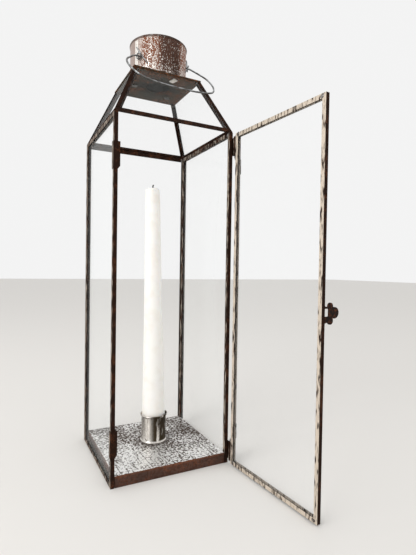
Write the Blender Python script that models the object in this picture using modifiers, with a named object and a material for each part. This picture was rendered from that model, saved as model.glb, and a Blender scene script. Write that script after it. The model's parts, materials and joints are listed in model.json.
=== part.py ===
"""A candle lantern: a tall square body and a pyramid roof of glass held in folded tin cames, a glass
door on wire hinges, a tin tray with a candle in its cup, and a crown with a chimney and a wire bail.

Metres, +Z up, the front with the door opening faces -Y, and the table is z = 0. The door stands open
and the bail hangs down towards the roof's front. The origin is the middle of the open lantern's footprint.
"""

import math

import bmesh
import bpy
from mathutils import Matrix, Vector

# Body, measured over the outsides of the cames.
SIDE = 0.1076
BODY_HEIGHT = 0.300
STAND = Vector((-0.0125, 0.0548, 0.0))

# Cames are channels folded from sheet round the edges of the glass.
SHEET = 0.00035
CAME_FACE = 0.0034
CAME_DEPTH = 0.0032
GLASS = 0.0020
GAP = 0.0003

# Roof.
CROWN_SIDE = 0.0634
CROWN_UNDERSIDE = 0.3484
ROOF_DEPTH = 0.0030
ROOF_GLASS = 0.0018
HIP_FACE = 0.0028
HIP_FACE_INSIDE = 0.0044
ROOF_SEAM = 0.00015
HIP_OVERRUN = 0.010

# Crown plate and the flue hole in it.
CROWN_THICK = 0.0012
FLUE_RADIUS = 0.0110

# Chimney drum.
DRUM_CENTRE = Vector((0.0015, -0.0006, 0.0))
DRUM_RADIUS = 0.0263
DRUM_WALL = 0.0007
DRUM_TOP = 0.3849
RIM_RADIUS = 0.0011
RIM_NECK = 0.0026
BAIL_HOLE = 0.0013
TAB_WIDTH = 0.0046
TAB_REACH = 0.0065
TAB_SHEET = 0.0005
TAB_RISER = 0.0004
TAB_RISE = 0.0030
TAB_INSET = 0.00025
TAB_SLOT = 0.0014
TAB_BEARINGS = (-73.0, 47.0, 167.0)

# Bail and the wire ears that hold it.
BAIL_WIRE = 0.0008
BAIL_CENTRE = Vector((0.0019, -0.0131, 0.3673))
BAIL_SKEW = 4.6
BAIL_TIP = 2.2
BAIL_LEAN = 136.0
BAIL_HALF = (
    (0.0205, 0.0), (0.0265, 0.0), (0.0295, 0.0015), (0.0345, 0.0070), (0.0390, 0.0130),
    (0.0412, 0.0205), (0.0405, 0.0310), (0.0355, 0.0420), (0.0270, 0.0475), (0.0140, 0.0502),
)
BAIL_REACH = 0.0508
EAR_WIRE = 0.00055
EAR_LENGTH = 0.0190
EAR_SLOPE = 54.0
EAR_LOOP = 0.0024
EAR_LIFT = 0.0016
EAR_TAIL = 0.0035
EAR_LEG_STEPS = 4
EAR_LOOP_STEPS = 24

# Door, hung on two knuckles outside the front right corner.
HINGE_RIGHT = 0.0012
HINGE_FRONT = 0.0027
DOOR_OPEN = 94.3
DOOR_START = 0.0026
DOOR_END = 0.1071
DOOR_LOW = 0.0012
DOOR_HIGH = 0.2975
KNUCKLE_RADIUS = 0.0017
KNUCKLE_BORE = 0.00105
KNUCKLE_HEIGHT = 0.0170
KNUCKLE_ENDS = 0.0020
LEAF_THICK = 0.0010
LEAF_LENGTH = 0.0095
LEAF_INSET = 0.0006
LEAF_START = 0.00015
PIN_WIRE = 0.00075
PIN_INSET = 0.0010

# A hinge wire past its knuckle: share of the way to the came, share of the way out, height.
PIN_ROUTE = (
    (0.0, 0.0, 0.0016), (0.15, 0.3, 0.0026), (0.45, 0.85, 0.0034),
    (0.90, 1.0, 0.0044), (1.0, 1.0, 0.0060), (1.0, 1.0, 0.0170),
)

# Trefoil pull on the door, square to the glass.
PULL_HEIGHT = 0.1473
PULL_THICK = 0.0012
PULL_FINGER = (0.0126, 0.0)
PULL_FINGER_RADIUS = 0.0041
PULL_UPPER = (0.0085, 0.0048)
PULL_UPPER_RADIUS = 0.0024
PULL_LOWER = (0.0085, -0.0056)
PULL_LOWER_RADIUS = 0.0026
PULL_STRIP = 0.0016
PULL_STRIP_TOP = 0.0064
PULL_STRIP_FOOT = -0.0080
PULL_NECK = (0.0062, 0.0044)
PULL_SHOULDER = 0.0070
PULL_WINDOW_START = 0.0007
PULL_WINDOW_END = 0.0070
PULL_WINDOW_LOW = -0.0025
PULL_WINDOW_HIGH = 0.0031
PULL_WINDOW_CORNER = 0.0004
PULL_WINDOW_SLANT = 0.0007

# Spring clips on the front left upright.
CLIP_HEIGHT = 0.0215
CLIP_LOWS = {"clip_lower": 0.0246, "clip_upper": 0.2543}
CLIP_SHEET = 0.0005
CLIP_LIP = 0.0014
CLIP_NOTCH = 0.0022
CLIP_SHORT = 0.0004
CLIP_SLANT = Vector((-1.0, 0.0, 0.8))

# Tray, cup and candle.
TRAY_TOP = 0.00975
TRAY_SHEET = 0.0008
TRAY_FOLD = 0.0003
CUP_CENTRE = Vector((0.0018, 0.0005, 0.0))
CUP_HEIGHT = 0.0262
CUP_RADIUS = 0.01175
CUP_WALL = 0.0004
CUP_FLOOR = 0.0005
CUP_FLARE = 0.0008
CUP_RIM = 0.0006
CUP_BEAD = 0.0009
CUP_BEAD_HEIGHT = 0.0010
CANDLE_LENGTH = 0.2420
CANDLE_FOOT = 0.0109
CANDLE_TOP = 0.0070
CANDLE_SEAT = 0.0013
CANDLE_SHOULDER = 0.0028
CANDLE_CHAMFER = 0.0008
CANDLE_WAIST = 0.0002
CANDLE_LEAN = 0.95
CANDLE_LEAN_BEARING = 152.4
WICK_BORE = 0.0011
WICK_RADIUS = 0.0007
WICK_DEPTH = 0.0060
WICK_ROUTE = (
    (0.0, 0.0, -0.0056), (0.0, 0.0, -0.0010), (0.0001, 0.0, 0.0010),
    (0.0005, 0.0001, 0.0024), (0.0012, 0.0003, 0.0035),
)

UP = Vector((0.0, 0.0, 1.0))
RIGHT = Vector((1.0, 0.0, 0.0))
BACK = Vector((0.0, 1.0, 0.0))


def clear_scene():
    for thing in list(bpy.data.objects):
        bpy.data.objects.remove(thing, do_unlink=True)


def new_collection(name):
    collection = bpy.data.collections.new(name)
    bpy.context.scene.collection.children.link(collection)
    return collection


clear_scene()
PARTS = new_collection("candle_lantern")
CUTTERS = new_collection("cutters")


def material(name, colour, roughness, metallic, alpha=1.0):
    made = bpy.data.materials.new(name)
    made.use_nodes = True
    shader = made.node_tree.nodes["Principled BSDF"]
    shader.inputs["Base Color"].default_value = (*colour, 1.0)
    shader.inputs["Roughness"].default_value = roughness
    shader.inputs["Metallic"].default_value = metallic
    shader.inputs["Alpha"].default_value = alpha
    return made


CAME_TIN = material("came_tin", (0.16, 0.11, 0.08), 0.55, 0.8)
DOOR_TIN = material("door_tin", (0.22, 0.17, 0.13), 0.5, 0.8)
PANE_GLASS = material("pane_glass", (0.95, 0.98, 0.97), 0.05, 0.0, 0.2)
TRAY_ZINC = material("tray_zinc", (0.55, 0.54, 0.52), 0.45, 0.9)
CUP_TIN = material("cup_tin", (0.45, 0.40, 0.33), 0.35, 0.9)
WAX = material("wax", (0.94, 0.93, 0.89), 0.5, 0.0)
WICK_COTTON = material("wick_cotton", (0.05, 0.05, 0.05), 0.9, 0.0)
CROWN_TIN = material("crown_tin", (0.20, 0.17, 0.12), 0.6, 0.7)
DRUM_TIN = material("drum_tin", (0.45, 0.33, 0.26), 0.5, 0.7)
GALVANISED = material("galvanised", (0.55, 0.57, 0.58), 0.4, 1.0)
RUSTY_IRON = material("rusty_iron", (0.10, 0.05, 0.035), 0.7, 0.6)


def empty(name, parent=None, place=Vector(), turn=None):
    made = bpy.data.objects.new(name, None)
    made.empty_display_size = 0.01
    PARTS.objects.link(made)
    made.parent = parent
    made.matrix_basis = Matrix.Translation(place) @ (turn or Matrix.Identity(3)).to_4x4()
    return made


ROOT = empty("lantern", place=STAND)


def add(name, data, parent, surface, collection=None):
    """A named object for a mesh or curve, in its parent's space."""
    made = bpy.data.objects.new(name, data)
    (collection or PARTS).objects.link(made)
    made.parent = parent
    if surface:
        data.materials.append(surface)
    if collection == CUTTERS:
        made.hide_render = True
        made.display_type = "WIRE"
    return made


def axes(x_axis, y_axis):
    """The turn that lays local X and Y along two square directions."""
    return Matrix((x_axis, y_axis, x_axis.cross(y_axis))).transposed()


def place(thing, origin, turn=None):
    thing.matrix_basis = Matrix.Translation(origin) @ (turn or Matrix.Identity(3)).to_4x4()
    return thing


def box(name, corner, opposite, parent, surface, collection=None):
    mesh = bmesh.new()
    bmesh.ops.create_cube(mesh, size=1.0)
    size = Vector([abs(b - a) for a, b in zip(corner, opposite)])
    bmesh.ops.scale(mesh, vec=size, verts=mesh.verts)
    data = bpy.data.meshes.new(name)
    mesh.to_mesh(data)
    mesh.free()
    made = add(name, data, parent, surface, collection)
    return place(made, (corner + opposite) / 2)


def cylinder(name, radius, length, parent, centre, axis, segments=24):
    """A cutter: a round bar along an axis."""
    mesh = bmesh.new()
    bmesh.ops.create_cone(
        mesh, cap_ends=True, segments=segments, radius1=radius, radius2=radius, depth=length
    )
    data = bpy.data.meshes.new(name)
    mesh.to_mesh(data)
    mesh.free()
    made = add(name, data, parent, None, CUTTERS)
    return place(made, centre, UP.rotation_difference(axis).to_matrix())


def flat(name, outlines, thickness, parent, surface, collection=None):
    """A flat piece cut from sheet or plate, drawn in its own XY plane; later outlines are its holes."""
    curve = bpy.data.curves.new(name, "CURVE")
    curve.dimensions = "2D"
    curve.fill_mode = "BOTH"
    curve.extrude = thickness / 2
    for outline in outlines:
        spline = curve.splines.new("POLY")
        spline.points.add(len(outline) - 1)
        for point, (x, y) in zip(spline.points, outline):
            point.co = (x, y, 0.0, 1.0)
        spline.use_cyclic_u = True
    return add(name, curve, parent, surface, collection)


def wire(name, points, radius, parent, surface):
    curve = bpy.data.curves.new(name, "CURVE")
    curve.dimensions = "3D"
    curve.bevel_depth = radius
    curve.bevel_resolution = 2
    curve.use_fill_caps = True
    spline = curve.splines.new("POLY")
    spline.points.add(len(points) - 1)
    for point, spot in zip(spline.points, points):
        point.co = (*spot, 1.0)
    return add(name, curve, parent, surface)


def turned(name, profile, steps, parent, surface, closed=False):
    """A turned piece. The profile (radius, height) runs down its outer side."""
    mesh = bmesh.new()
    spots = [mesh.verts.new((radius, 0.0, height)) for radius, height in profile]
    for first, second in zip(spots, spots[1:]):
        mesh.edges.new((first, second))
    if closed:
        mesh.edges.new((spots[-1], spots[0]))
    data = bpy.data.meshes.new(name)
    mesh.to_mesh(data)
    mesh.free()
    made = add(name, data, parent, surface)
    screw = made.modifiers.new("turn", "SCREW")
    screw.steps = steps
    screw.render_steps = steps
    screw.use_merge_vertices = True
    screw.merge_threshold = 0.00001
    return made


def to_mesh(thing):
    """Turn a curve object into a welded mesh object in the same place."""
    bpy.context.view_layer.update()
    seen = thing.evaluated_get(bpy.context.evaluated_depsgraph_get())
    data = bpy.data.meshes.new_from_object(seen)
    mesh = bmesh.new()
    mesh.from_mesh(data)
    bmesh.ops.remove_doubles(mesh, verts=mesh.verts, dist=0.000001)
    mesh.to_mesh(data)
    mesh.free()
    name, parent, basis = thing.name, thing.parent, thing.matrix_basis.copy()
    collection = thing.users_collection[0]
    bpy.data.objects.remove(thing, do_unlink=True)
    made = add(name, data, parent, None, collection)
    made.matrix_basis = basis
    return made


def trim(thing, planes):
    """Cut a mesh by planes in its parent's space, each a point and a normal into what is kept."""
    inward = thing.matrix_basis.inverted()
    mesh = bmesh.new()
    mesh.from_mesh(thing.data)
    for point, normal in planes:
        cut = bmesh.ops.bisect_plane(
            mesh,
            geom=mesh.verts[:] + mesh.edges[:] + mesh.faces[:],
            plane_co=inward @ point,
            plane_no=inward.to_3x3() @ normal,
            clear_inner=True,
        )
        rim = [part for part in cut["geom_cut"] if isinstance(part, bmesh.types.BMEdge)]
        bmesh.ops.edgeloop_fill(mesh, edges=rim)
    bmesh.ops.recalc_face_normals(mesh, faces=mesh.faces)
    mesh.to_mesh(thing.data)
    mesh.free()
    return thing


def combine(thing, other, operation):
    step = thing.modifiers.new(other.name, "BOOLEAN")
    step.operation = operation
    step.object = other
    step.solver = "EXACT"


def arc(centre, radius, start, end, steps):
    """Points round an arc in a plane, angles in degrees, both ends kept."""
    spots = []
    for step in range(steps + 1):
        angle = math.radians(start + (end - start) * step / steps)
        spots.append((centre[0] + radius * math.cos(angle), centre[1] + radius * math.sin(angle)))
    return spots


def smooth_path(points, steps):
    """A Catmull-Rom curve through points."""
    spots = [Vector(point) for point in points]
    ends = [2 * spots[0] - spots[1], *spots, 2 * spots[-1] - spots[-2]]
    path = []
    for before, first, second, after in zip(ends, ends[1:], ends[2:], ends[3:]):
        for step in range(steps):
            t = step / steps
            path.append(
                0.5 * (
                    2 * first
                    + (second - before) * t
                    + (2 * before - 5 * first + 4 * second - after) * t * t
                    + (3 * first - before - 3 * second + after) * t * t * t
                )
            )
    return [*path, spots[-1]]


def came(name, start, end, inward, outward, parent, surface, depth=CAME_DEPTH, face=CAME_FACE,
         face_inside=None, seat=None, seam=0.0, ends=()):
    """A folded channel. Its web stands on the line from start to end, on the frame's outer face, and
    its two flanges run inward over the glass. seat is the square to the web, where it leans."""
    seat = seat or inward
    lean = seat.dot(outward) / seat.dot(inward)
    face_inside = face_inside or face
    groove = depth - SHEET
    outline = [
        (seam, 0.0),
        (face, 0.0),
        (face, SHEET),
        (seam + lean * SHEET + SHEET, SHEET),
        (seam + lean * groove + SHEET, groove),
        (face_inside, groove),
        (face_inside, depth),
        (seam + lean * depth, depth),
    ]
    bar = flat(name, [outline], (end - start).length, parent, surface)
    place(bar, (start + end) / 2, axes(inward, -outward))
    bar = to_mesh(bar)
    if ends:
        trim(bar, ends)
    return bar


def framed_pane(name, corner, along, outward, width, low, high, sides, parent, surface):
    """A rectangular pane in four cames, standing on the line from corner along its outer face."""
    first, last = sides
    far = corner + along * width
    came(f"{name}_came_{first}", corner + UP * low, corner + UP * high, along, outward,
         parent, surface)
    came(f"{name}_came_{last}", far + UP * low, far + UP * high, -along, outward, parent, surface)
    step = along * (CAME_FACE + GAP)
    came(f"{name}_came_bottom", corner + step + UP * low, far - step + UP * low, UP, outward,
         parent, surface)
    came(f"{name}_came_top", corner + step + UP * high, far - step + UP * high, -UP, outward,
         parent, surface)
    edge = SHEET + GAP
    middle = -outward * (CAME_DEPTH / 2)
    box(
        f"{name}_pane",
        corner + middle + along * edge - outward * (GLASS / 2) + UP * (low + edge),
        far + middle - along * edge + outward * (GLASS / 2) + UP * (high - edge),
        parent,
        PANE_GLASS,
    )


def walls():
    half = SIDE / 2
    top = BODY_HEIGHT - GAP
    short = SIDE - CAME_DEPTH - GAP
    framed_pane("left", Vector((-half, -half, 0.0)), BACK, -RIGHT, short, 0.0, top,
                ("front", "back"), ROOT, CAME_TIN)
    framed_pane("right", Vector((half, -half, 0.0)), BACK, RIGHT, short, 0.0, top,
                ("front", "back"), ROOT, CAME_TIN)
    framed_pane("back", Vector((-half, half, 0.0)), RIGHT, BACK, SIDE, 0.0, top,
                ("left", "right"), ROOT, CAME_TIN)


def roof_side(name, turn):
    """One sloping pane with its eave came and two hip cames, laid out at the front and turned."""
    eave = SIDE / 2
    crown = CROWN_SIDE / 2
    rise = CROWN_UNDERSIDE - GAP - BODY_HEIGHT
    slope = Vector((0.0, eave - crown, rise)).normalized()
    outward = Vector((0.0, -rise, eave - crown)).normalized()
    corner = Vector((-eave, -eave, BODY_HEIGHT))
    hip = Vector((eave - crown, eave - crown, rise))
    overrun = hip.normalized() * HIP_OVERRUN
    miter = Vector((1.0, -1.0, 0.0)).normalized()
    inward = (miter - outward * miter.dot(outward)).normalized()
    mirror = Matrix.Scale(-1.0, 3, RIGHT)
    far = mirror @ corner
    far_miter = mirror @ miter

    def turned_plane(point, normal):
        return turn @ point, turn @ normal

    came(
        f"roof_{name}_eave", turn @ corner, turn @ far, turn @ slope, turn @ outward,
        ROOT, CAME_TIN, ROOF_DEPTH, seat=UP, seam=ROOF_SEAM,
        ends=(
            turned_plane(corner + miter * ROOF_SEAM, miter),
            turned_plane(far + far_miter * ROOF_SEAM, far_miter),
        ),
    )
    lower = turned_plane(corner + slope * (CAME_FACE + GAP), slope)
    upper = turned_plane(corner + UP * rise, -UP)
    for side, flip in (("left", Matrix.Identity(3)), ("right", mirror)):
        came(
            f"roof_{name}_hip_{side}",
            turn @ (flip @ (corner - overrun)),
            turn @ (flip @ (corner + hip + overrun)),
            turn @ (flip @ inward),
            turn @ outward,
            ROOT, CAME_TIN, ROOF_DEPTH, HIP_FACE, HIP_FACE_INSIDE,
            seat=turn @ (flip @ miter), seam=ROOF_SEAM, ends=(lower, upper),
        )
    length = math.hypot(eave - crown, rise)
    narrow = (eave - crown) / length
    foot = pane_inset(UP, slope, outward)
    flank = pane_inset(miter, inward, outward) * math.hypot(1.0, narrow)
    outline = [
        (-eave + flank + narrow * foot, foot),
        (eave - flank - narrow * foot, foot),
        (crown + narrow * GAP - flank, length - GAP),
        (-crown - narrow * GAP + flank, length - GAP),
    ]
    pane = flat(f"roof_{name}_pane", [outline], ROOF_GLASS, ROOT, PANE_GLASS)
    middle = Vector((0.0, -eave, BODY_HEIGHT)) - outward * (ROOF_DEPTH / 2)
    place(pane, turn @ middle, axes(turn @ RIGHT, turn @ slope))


def pane_inset(seat, inward, outward):
    """How far a roof pane's edge stays inside a came whose web leans onto its seat."""
    lean = abs(seat.dot(outward) / seat.dot(inward))
    return ROOF_SEAM + SHEET + GAP + lean * (ROOF_DEPTH + ROOF_GLASS) / 2


def roof():
    for quarter, name in enumerate(("front", "right", "back", "left")):
        roof_side(name, Matrix.Rotation(math.radians(90.0 * quarter), 3, "Z"))


def base_tray():
    """A tray folded down at its edges: its floor is the top and its skirts stand on the table."""
    inner = SIDE / 2 - CAME_DEPTH - GAP
    front = SIDE / 2
    tray = box("tray", Vector((-inner, -front, 0.0)), Vector((inner, inner, TRAY_TOP)), ROOT, TRAY_ZINC)
    mesh = bmesh.new()
    mesh.from_mesh(tray.data)
    under = [face for face in mesh.faces if face.normal.z < -0.5]
    bmesh.ops.delete(mesh, geom=under, context="FACES_ONLY")
    mesh.to_mesh(tray.data)
    mesh.free()
    shell = tray.modifiers.new("sheet", "SOLIDIFY")
    shell.thickness = TRAY_SHEET
    shell.offset = -1.0
    shell.use_even_offset = True
    fold = tray.modifiers.new("fold", "BEVEL")
    fold.width = TRAY_FOLD
    fold.segments = 2
    fold.limit_method = "ANGLE"


def candle_cup():
    inner = CUP_RADIUS - CUP_WALL
    profile = [
        (0.0, CUP_FLOOR),
        (inner, CUP_FLOOR),
        (inner, CUP_HEIGHT - 2 * CUP_FLARE),
        (inner + CUP_FLARE, CUP_HEIGHT - CUP_FLARE / 2),
        *arc((CUP_RADIUS + CUP_FLARE, CUP_HEIGHT - CUP_RIM), CUP_RIM, 120.0, -60.0, 5),
        (CUP_RADIUS, CUP_HEIGHT - 4 * CUP_RIM),
        (CUP_RADIUS, 2.2 * CUP_BEAD_HEIGHT),
        *arc((CUP_RADIUS, CUP_BEAD_HEIGHT), CUP_BEAD, 75.0, -60.0, 5),
        (CUP_RADIUS, 0.0),
        (0.0, 0.0),
    ]
    cup = turned("candle_cup", profile, 48, ROOT, CUP_TIN)
    place(cup, CUP_CENTRE + UP * (TRAY_TOP + GAP))


def candle():
    """A tapered candle leaning in its cup, with its wick in a narrow bore."""
    lean = Matrix.Rotation(
        math.radians(CANDLE_LEAN), 3,
        Vector((
            -math.sin(math.radians(CANDLE_LEAN_BEARING)),
            math.cos(math.radians(CANDLE_LEAN_BEARING)),
            0.0,
        )),
    )
    pivot = CUP_CENTRE + UP * (TRAY_TOP + CUP_HEIGHT / 2)
    foot = CANDLE_SEAT - CUP_HEIGHT / 2
    stand = empty("candle_axis", ROOT, pivot, lean)
    shoulder = CANDLE_SHOULDER
    profile = [
        (0.0, CANDLE_LENGTH - WICK_DEPTH),
        (WICK_BORE, CANDLE_LENGTH - WICK_DEPTH),
        (WICK_BORE, CANDLE_LENGTH),
        *arc((CANDLE_TOP - shoulder, CANDLE_LENGTH - shoulder), shoulder, 90.0, 0.0, 6),
        ((CANDLE_TOP + CANDLE_FOOT) / 2 - CANDLE_WAIST, CANDLE_LENGTH / 2),
        (CANDLE_FOOT, CUP_HEIGHT),
        (CANDLE_FOOT, CANDLE_CHAMFER),
        (CANDLE_FOOT - CANDLE_CHAMFER, 0.0),
        (0.0, 0.0),
    ]
    place(turned("candle", profile, 48, stand, WAX), UP * foot)
    top = foot + CANDLE_LENGTH
    bend = [(x, y, top + z) for x, y, z in WICK_ROUTE]
    wire("wick", smooth_path(bend, 3), WICK_RADIUS, stand, WICK_COTTON)


def crown_plate():
    half = CROWN_SIDE / 2
    low = UP * CROWN_UNDERSIDE
    plate = box(
        "crown_plate",
        Vector((-half, -half, 0.0)) + low,
        Vector((half, half, CROWN_THICK)) + low,
        ROOT,
        CROWN_TIN,
    )
    centre = low + UP * (CROWN_THICK / 2)
    tall = 3 * CROWN_THICK
    flue = cylinder("flue", FLUE_RADIUS, tall, ROOT, centre + DRUM_CENTRE, UP, 40)
    combine(plate, flue, "DIFFERENCE")
    for bearing in TAB_BEARINGS:
        reach = Vector((DRUM_RADIUS - DRUM_WALL / 2, 0.0, 0.0))
        size = Vector((TAB_SLOT / 2, TAB_WIDTH / 2 + GAP, tall / 2))
        slot = box(f"slot_{bearing:.0f}", reach - size, reach + size, ROOT, None, CUTTERS)
        turn = Matrix.Rotation(math.radians(bearing), 3, "Z")
        place(slot, turn @ reach + DRUM_CENTRE + centre, turn)
        combine(plate, slot, "DIFFERENCE")


def bail_axes():
    """The bail's own X along its pivot, and its Y from the pivot towards the grip at rest."""
    skew = math.radians(BAIL_SKEW)
    tip = math.radians(BAIL_TIP)
    lean = math.radians(BAIL_LEAN)
    pivot = Vector((math.cos(skew) * math.cos(tip), math.sin(skew) * math.cos(tip), math.sin(tip)))
    forward = pivot.cross(UP).normalized()
    upward = forward.cross(pivot)
    reach = forward * math.sin(lean) + upward * math.cos(lean)
    return pivot, reach


def pivot_on_drum(side, radius):
    """Where the bail's pivot line leaves a cylinder round the drum's axis, on one side."""
    pivot, _ = bail_axes()
    start = BAIL_CENTRE - DRUM_CENTRE
    a = pivot.x ** 2 + pivot.y ** 2
    b = start.x * pivot.x + start.y * pivot.y
    c = start.x ** 2 + start.y ** 2 - radius ** 2
    step = (-b + side * math.sqrt(b * b - a * c)) / a
    return BAIL_CENTRE + pivot * step


def ear_path(side):
    """A wire ear on the drum's wall: in through the wall, down and forward past a loop that the bail
    turns in, and back in through the wall. Laid out along the wall, then wrapped round the drum."""
    lay = DRUM_RADIUS + GAP + EAR_WIRE
    spot = pivot_on_drum(side, lay + EAR_LIFT / 2) - DRUM_CENTRE
    bearing = math.atan2(spot.y, spot.x)
    slope = math.radians(EAR_SLOPE)
    down = Vector((math.cos(slope), -math.sin(slope)))
    across = Vector((math.sin(slope), math.cos(slope)))

    def wrap(flat_spot, lift):
        angle = bearing - side * flat_spot.x / lay
        return Vector((
            DRUM_CENTRE.x + (lay + lift) * math.cos(angle),
            DRUM_CENTRE.y + (lay + lift) * math.sin(angle),
            spot.z + flat_spot.y,
        ))

    edge = across * EAR_LOOP
    half = EAR_LENGTH / 2
    path = [wrap(edge - down * half, -EAR_TAIL)]
    path += [wrap(edge - down * half * (1.0 - step / EAR_LEG_STEPS), 0.0) for step in range(EAR_LEG_STEPS)]
    for step in range(EAR_LOOP_STEPS + 1):
        share = step / EAR_LOOP_STEPS
        turn = 2 * math.pi * share
        ring = across * math.cos(turn) + down * math.sin(turn)
        path.append(wrap(ring * EAR_LOOP, EAR_LIFT * share))
    for step in range(1, EAR_LEG_STEPS + 1):
        share = step / EAR_LEG_STEPS
        path.append(wrap(edge + down * half * share, EAR_LIFT * (1.0 - share)))
    path.append(wrap(edge + down * half, -EAR_TAIL))
    return path


def ears():
    for side, name in ((-1, "ear_left"), (1, "ear_right")):
        wire(name, ear_path(side), EAR_WIRE, ROOT, GALVANISED)


def bail():
    pivot, reach = bail_axes()
    swing = empty("bail_swing", ROOT, BAIL_CENTRE, axes(pivot, reach))
    half = [(x, y, 0.0) for x, y in BAIL_HALF]
    whole = [(-x, y, z) for x, y, z in half] + [(0.0, BAIL_REACH, 0.0)] + half[::-1]
    wire("bail", smooth_path(whole, 4), BAIL_WIRE, swing, GALVANISED)


def chimney():
    """An open drum with a rolled rim, held by tabs that pass through the crown and fold under it."""
    outer = DRUM_RADIUS
    inner = DRUM_RADIUS - DRUM_WALL
    base = CROWN_UNDERSIDE + CROWN_THICK + GAP
    bead = (outer - DRUM_WALL / 2, DRUM_TOP - RIM_RADIUS)
    profile = [
        *arc(bead, RIM_RADIUS, 230.0, -50.0, 12),
        (outer, DRUM_TOP - RIM_NECK),
        (outer, base),
        (inner, base),
        (inner, DRUM_TOP - RIM_NECK),
    ]
    drum = turned("chimney", profile, 64, ROOT, DRUM_TIN, closed=True)
    place(drum, DRUM_CENTRE)
    fold_top = CROWN_UNDERSIDE - GAP
    outside = outer - TAB_INSET
    tab_outline = [
        (outside, base + TAB_RISE),
        (outside - TAB_RISER, base + TAB_RISE),
        (outside - TAB_RISER, fold_top),
        (outside - TAB_REACH, fold_top),
        (outside - TAB_REACH, fold_top - TAB_SHEET),
        (outside, fold_top - TAB_SHEET),
    ]
    for bearing in TAB_BEARINGS:
        angle = math.radians(bearing)
        outward = Vector((math.cos(angle), math.sin(angle), 0.0))
        tab = flat(f"tab_{bearing:.0f}", [tab_outline], TAB_WIDTH, ROOT, None, CUTTERS)
        place(tab, DRUM_CENTRE, axes(outward, UP))
        combine(drum, to_mesh(tab), "UNION")
    pivot, _ = bail_axes()
    for side, name in ((-1, "left"), (1, "right")):
        spot = pivot_on_drum(side, DRUM_RADIUS)
        hole = cylinder(f"bail_hole_{name}", BAIL_HOLE, 2 * EAR_TAIL, ROOT, spot, pivot, 20)
        combine(drum, hole, "DIFFERENCE")
        path = ear_path(side)
        for end, (outside_spot, inside_spot) in enumerate(((path[1], path[0]), (path[-2], path[-1]))):
            line = (outside_spot - inside_spot).normalized()
            middle = (outside_spot + inside_spot) / 2
            leg = cylinder(f"ear_hole_{name}_{end}", EAR_WIRE + GAP, EAR_TAIL + GAP, ROOT, middle, line, 16)
            combine(drum, leg, "DIFFERENCE")


def hinge_place():
    return Vector((SIDE / 2 + HINGE_RIGHT, -SIDE / 2 - HINGE_FRONT, 0.0))


def knuckle_lows():
    return {
        "lower": DOOR_LOW + KNUCKLE_ENDS,
        "upper": DOOR_HIGH - KNUCKLE_ENDS - KNUCKLE_HEIGHT,
    }


def knuckles():
    """Two short tubes, each on a leaf that starts in the tube's wall, behind its bore, and runs along
    the right wall's front upright."""
    for name, low in knuckle_lows().items():
        ring = [
            (KNUCKLE_BORE, KNUCKLE_HEIGHT),
            (KNUCKLE_RADIUS, KNUCKLE_HEIGHT),
            (KNUCKLE_RADIUS, 0.0),
            (KNUCKLE_BORE, 0.0),
        ]
        tube = turned(f"knuckle_{name}", ring, 24, ROOT, CAME_TIN, closed=True)
        place(tube, hinge_place() + UP * low)
        wall = SIDE / 2 + GAP
        start = hinge_place().y + KNUCKLE_BORE + LEAF_START
        leaf = box(
            f"leaf_{name}",
            Vector((wall, start, low + LEAF_INSET)),
            Vector((wall + LEAF_THICK, start + LEAF_LENGTH, low + KNUCKLE_HEIGHT - LEAF_INSET)),
            ROOT, None, CUTTERS,
        )
        combine(tube, leaf, "UNION")


def hinge_wires(swing):
    """Each wire runs in a knuckle, steps over the door's outer face and runs along its came."""
    beside = DOOR_START + CAME_FACE / 2
    above = CAME_DEPTH / 2 + GAP + PIN_WIRE
    for name, low in knuckle_lows().items():
        upward = 1 if name == "lower" else -1
        far = low if name == "lower" else low + KNUCKLE_HEIGHT
        near = low + KNUCKLE_HEIGHT if name == "lower" else low
        path = [(0.0, 0.0, far - upward * PIN_INSET)]
        path += [(beside * along, above * out, near + upward * rise) for along, out, rise in PIN_ROUTE]
        wire(f"hinge_wire_{name}", smooth_path(path, 3), PIN_WIRE, swing, GALVANISED)


def pull(swing):
    """A trefoil cut from sheet: a round finger lobe between two small ones, on a back strip."""
    start = CAME_DEPTH / 2 + GAP
    strip = start + PULL_STRIP
    outline = [
        (start, PULL_STRIP_TOP),
        (strip, PULL_NECK[1]),
        PULL_NECK,
        *arc(PULL_UPPER, PULL_UPPER_RADIUS, 190.0, -20.0, 10),
        *arc(PULL_FINGER, PULL_FINGER_RADIUS, 118.0, -118.0, 16),
        *arc(PULL_LOWER, PULL_LOWER_RADIUS, 20.0, -160.0, 10),
        (strip, -PULL_SHOULDER),
        (start, PULL_STRIP_FOOT),
    ]
    near = start + PULL_WINDOW_START
    corner = PULL_WINDOW_END - PULL_WINDOW_CORNER
    window = [
        (near, PULL_WINDOW_LOW),
        (corner, PULL_WINDOW_LOW),
        (PULL_WINDOW_END, PULL_WINDOW_LOW + PULL_WINDOW_SLANT),
        (PULL_WINDOW_END, PULL_WINDOW_HIGH - PULL_WINDOW_SLANT),
        (corner, PULL_WINDOW_HIGH),
        (near, PULL_WINDOW_HIGH),
    ]
    made = flat("door_pull", [outline, window], PULL_THICK, swing, RUSTY_IRON)
    place(made, Vector((DOOR_END - CAME_FACE / 2, 0.0, PULL_HEIGHT)), axes(BACK, UP))


def door():
    """The door in its own space: X from the hinge to the latch edge, Y out of its outer face."""
    turn = Matrix.Rotation(math.radians(180.0 + DOOR_OPEN), 3, "Z")
    swing = empty("door_hinge", ROOT, hinge_place(), turn)
    corner = Vector((DOOR_START, CAME_DEPTH / 2, 0.0))
    framed_pane("door", corner, RIGHT, BACK, DOOR_END - DOOR_START, DOOR_LOW, DOOR_HIGH,
                ("hinge", "latch"), swing, DOOR_TIN)
    hinge_wires(swing)
    pull(swing)


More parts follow.
